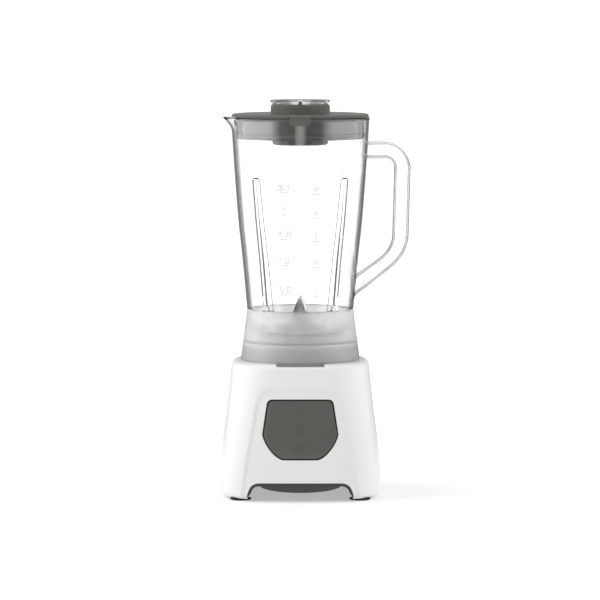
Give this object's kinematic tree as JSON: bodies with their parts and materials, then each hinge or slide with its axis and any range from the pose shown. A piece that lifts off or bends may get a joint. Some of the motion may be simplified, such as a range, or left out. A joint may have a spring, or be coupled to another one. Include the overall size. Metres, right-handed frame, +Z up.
{
  "type": "countertop blender",
  "caption": "Countertop blender: square tapered motor base with a rocker switch, clear spouted jar with a looped handle and ribs, frosted collar, grey lid and clear measuring cap.",
  "frame": {"origin": "centre of the overall width and depth, on the plane that the feet stand on", "axes": "+Z up along the jar, the switch faces -Y, the handle points along +X and the spout along -X"},
  "size_m": [0.1898, 0.1643, 0.394],
  "materials": {
    "housing_white": "glossy moulded, very fine texture",
    "dark_plastic": "fine matt texture",
    "warm_grey_plastic": "satin moulded",
    "foot_rubber": "matt",
    "silicone_seal": "soft satin",
    "clear_plastic": "clear polished",
    "frosted_plastic": "translucent frosted",
    "blade_steel": "brushed, ground edges",
    "zinc_metal": "cast satin",
    "motor_steel": "stamped laminations",
    "copper_winding": "lacquered wire",
    "bearing_bronze": "sintered",
    "carbon": "pressed graphite",
    "capacitor_yellow": "moulded case"
  },
  "bodies": {
    "base": {"motor_housing": "housing_white", "bottom_cover": "dark_plastic", "switch_frame": "dark_plastic", "switch_block": "dark_plastic", "interlock_switch": "dark_plastic", "foot_front_left": "foot_rubber", "foot_front_right": "foot_rubber", "foot_rear_left": "foot_rubber", "foot_rear_right": "foot_rubber", "cord_inlet": "foot_rubber", "motor_mount_1": "foot_rubber", "motor_mount_2": "foot_rubber", "motor_mount_3": "foot_rubber", "motor_mount_4": "foot_rubber", "paddle_pin": "blade_steel", "upper_bracket": "zinc_metal", "lower_bracket": "zinc_metal", "cover_screw_1": "zinc_metal", "cover_screw_2": "zinc_metal", "cover_screw_3": "zinc_metal", "cover_screw_4": "zinc_metal", "motor_stator": "motor_steel", "field_coil_left": "copper_winding", "field_coil_right": "copper_winding", "upper_bearing": "bearing_bronze", "lower_bearing": "bearing_bronze", "brush_holder_left": "bearing_bronze", "brush_holder_right": "bearing_bronze", "brush_left": "carbon", "brush_right": "carbon", "noise_capacitor": "capacitor_yellow"},
    "switch": {"switch_paddle": "warm_grey_plastic"},
    "interlock": {"interlock_pin": "housing_white"},
    "rotor": {"motor_shaft": "blade_steel", "armature": "motor_steel", "commutator": "copper_winding", "cooling_fan": "dark_plastic", "drive_coupling": "dark_plastic"},
    "jar_assembly": {"jar": "clear_plastic", "jar_base": "frosted_plastic", "jar_seal": "silicone_seal", "blade_bush": "bearing_bronze", "shaft_seal": "foot_rubber"},
    "blade_set": {"blade_shaft": "blade_steel", "blade_washer": "blade_steel", "lower_blade": "blade_steel", "upper_blade": "blade_steel", "blade_nut": "zinc_metal", "driven_coupling": "dark_plastic"},
    "lid_assembly": {"lid": "warm_grey_plastic", "lid_seal": "silicone_seal"},
    "cap": {"measuring_cap": "clear_plastic"}
  },
  "joints": [
    {"name": "switch_rock", "type": "hinge", "parent": "base", "child": "switch", "pos_m": [-0.0151, -0.0681, 0.07107], "axis": [-1, 0, 0], "range_deg": [-5, 5]},
    {"name": "rotor_spin", "type": "hinge", "parent": "base", "child": "rotor", "pos_m": [-0.0151, 0, 0.08], "axis": [0, 0, 1], "continuous": true},
    {"name": "jar_lift", "type": "slide", "parent": "base", "child": "jar_assembly", "axis": [0, 0, 1], "range_m": [0, 0.06]},
    {"name": "interlock_rise", "type": "slide", "parent": "base", "child": "interlock", "axis": [0, 0, 1], "range_m": [0, 0.004]},
    {"name": "blade_spin", "type": "hinge", "parent": "jar_assembly", "child": "blade_set", "pos_m": [-0.0151, 0, 0.165], "axis": [0, 0, 1], "continuous": true},
    {"name": "lid_lift", "type": "slide", "parent": "jar_assembly", "child": "lid_assembly", "axis": [0, 0, 1], "range_m": [0, 0.045]},
    {"name": "cap_lift", "type": "slide", "parent": "lid_assembly", "child": "cap", "axis": [0, 0, 1], "range_m": [0, 0.045]}
  ],
  "couplings": [
    {"joint": "blade_spin", "follows": "rotor_spin", "ratio": 1},
    {"joint": "interlock_rise", "follows": "jar_lift", "ratio": 0.066667}
  ]
}
